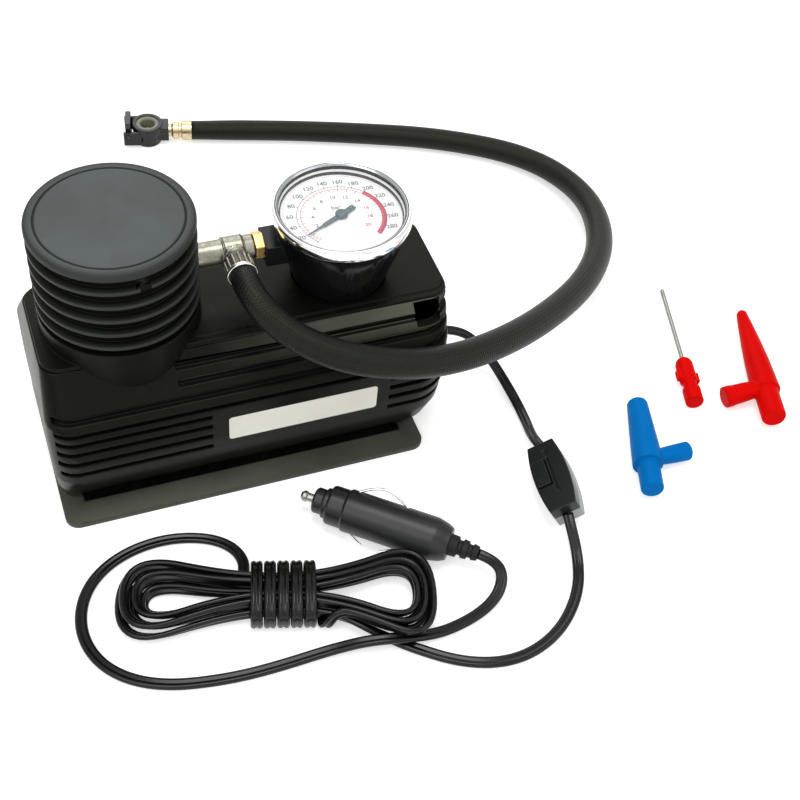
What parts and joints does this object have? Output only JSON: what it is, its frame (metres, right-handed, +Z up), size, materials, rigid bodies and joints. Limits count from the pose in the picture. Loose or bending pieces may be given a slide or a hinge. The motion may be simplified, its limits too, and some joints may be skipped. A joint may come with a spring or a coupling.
{
  "type": "portable tyre inflator",
  "caption": "Portable plug-in tyre inflator: ribbed housing on a base plate, finned cylinder tower, pressure gauge, braided hose with lever chuck, corded plug and loose adapters.",
  "frame": {"origin": "centre of the base plate's underside, on the surface that the object stands on", "axes": "+X along the housing from the tower towards the gauge, +Y to the back, +Z up"},
  "size_m": [0.3911, 0.4113, 0.1433],
  "materials": {
    "housing_plastic": "fine satin texture",
    "foot_rubber": "matt",
    "screw_steel": "zinc plated",
    "frame_alloy": "cast",
    "motor_steel": "plated",
    "motor_plastic": "moulded",
    "magnet": "sintered",
    "gear_nylon": "moulded nylon",
    "piston_alloy": "machined",
    "seal_rubber": "matt",
    "nickel": "nickel plated",
    "brass": "turned",
    "gauge_black": "semi-gloss",
    "dial_white": "printed scale",
    "bezel_chrome": "polished",
    "lens_clear": "clear",
    "pointer_blue": "satin",
    "hose_braid": "braided textile cover",
    "cord_vinyl": "smooth vinyl, slight sheen",
    "switch_black": "satin",
    "switch_grey": "moulded",
    "rocker_black": "satin",
    "plug_black": "fine texture",
    "plug_tip_steel": "plated",
    "needle_steel": "drawn tube",
    "adapter_red": "slightly translucent",
    "adapter_blue": "slightly translucent"
  },
  "bodies": {
    "inflator": {"base_plate": "housing_plastic", "housing_shell": "housing_plastic", "tower_fins": "housing_plastic", "tower_cap": "housing_plastic", "base_foot_1": "foot_rubber", "base_foot_2": "foot_rubber", "base_foot_3": "foot_rubber", "base_foot_4": "foot_rubber", "base_screw_1": "screw_steel", "base_screw_2": "screw_steel", "base_screw_3": "screw_steel", "base_screw_4": "screw_steel", "gearbox_frame": "frame_alloy", "cylinder_liner": "frame_alloy", "cylinder_head": "frame_alloy", "motor_can": "motor_steel", "motor_endbell": "motor_plastic", "motor_magnets": "magnet", "chuck_seal": "seal_rubber", "outlet_tube": "nickel", "hose_ferrule": "nickel", "chuck_body": "nickel", "chuck_pin": "nickel", "gauge_nut": "brass", "hose_end_fitting": "brass", "gauge_movement": "brass", "gauge_can": "gauge_black", "gauge_dial": "dial_white", "gauge_bezel": "bezel_chrome", "plug_contact_front": "bezel_chrome", "plug_contact_back": "bezel_chrome", "gauge_lens": "lens_clear", "hose": "hose_braid", "cord_lead": "cord_vinyl", "cord_mid": "cord_vinyl", "cord_hank": "cord_vinyl", "cord_wrap": "cord_vinyl", "cord_tail": "cord_vinyl", "cord_gland": "cord_vinyl", "plug_relief": "cord_vinyl", "switch_upper": "switch_black", "switch_lower": "switch_grey", "plug_body": "plug_black", "plug_nose": "plug_black"},
    "motor_rotor": {"armature": "motor_steel", "pinion": "motor_steel"},
    "drive_wheel": {"drive_gear": "gear_nylon"},
    "piston_unit": {"piston_rod": "piston_alloy", "piston_seal": "seal_rubber"},
    "pointer_unit": {"gauge_pointer": "pointer_blue"},
    "rocker_unit": {"switch_rocker": "rocker_black"},
    "lever_unit": {"chuck_lever": "rocker_black"},
    "tip_unit": {"plug_tip": "plug_tip_steel"},
    "ball_needle": {"needle_tube": "needle_steel", "needle_hub": "adapter_red"},
    "red_nozzle": {"cone_nozzle_red": "adapter_red"},
    "blue_nozzle": {"cone_nozzle_blue": "adapter_blue"}
  },
  "joints": [
    {"name": "drive_gear_spin", "type": "hinge", "parent": "inflator", "child": "drive_wheel", "pos_m": [-0.028, 0, 0.0505], "axis": [1, 0, 0], "continuous": true},
    {"name": "motor_spin", "type": "hinge", "parent": "inflator", "child": "motor_rotor", "pos_m": [0.008, 0, 0.0261], "axis": [1, 0, 0], "continuous": true},
    {"name": "piston_stroke", "type": "slide", "parent": "inflator", "child": "piston_unit", "axis": [0, 0, 1], "range_m": [0, 0.014]},
    {"name": "gauge_pointer_turn", "type": "hinge", "parent": "inflator", "child": "pointer_unit", "pos_m": [0.0559, 0, 0.119], "axis": [0, 0, -1], "range_deg": [0, 270]},
    {"name": "switch_rocker_tip", "type": "hinge", "parent": "inflator", "child": "rocker_unit", "pos_m": [0.13315, -0.09317, 0.0134], "axis": [0.8594, -0.1071, 0.5], "range_deg": [-5, 5]},
    {"name": "chuck_lever_swing", "type": "hinge", "parent": "inflator", "child": "lever_unit", "pos_m": [0.00073, 0.22328, 0.0084], "axis": [-0.2333, -0.9724, 0], "range_deg": [0, 75]},
    {"name": "plug_tip_press", "type": "slide", "parent": "inflator", "child": "tip_unit", "axis": [0.7741, -0.6331, 0], "range_m": [0, 0.0025], "stiffness_N_per_m": 400, "springref_m": -0.003},
    {"name": "ball_needle_lift", "type": "slide", "parent": "inflator", "child": "ball_needle", "axis": [0, 0, 1], "range_m": [0, 0.1]},
    {"name": "red_nozzle_lift", "type": "slide", "parent": "inflator", "child": "red_nozzle", "axis": [0, 0, 1], "range_m": [0, 0.1]},
    {"name": "blue_nozzle_lift", "type": "slide", "parent": "inflator", "child": "blue_nozzle", "axis": [0, 0, 1], "range_m": [0, 0.1]}
  ],
  "couplings": [
    {"joint": "motor_spin", "follows": "drive_gear_spin", "ratio": -3.5}
  ]
}
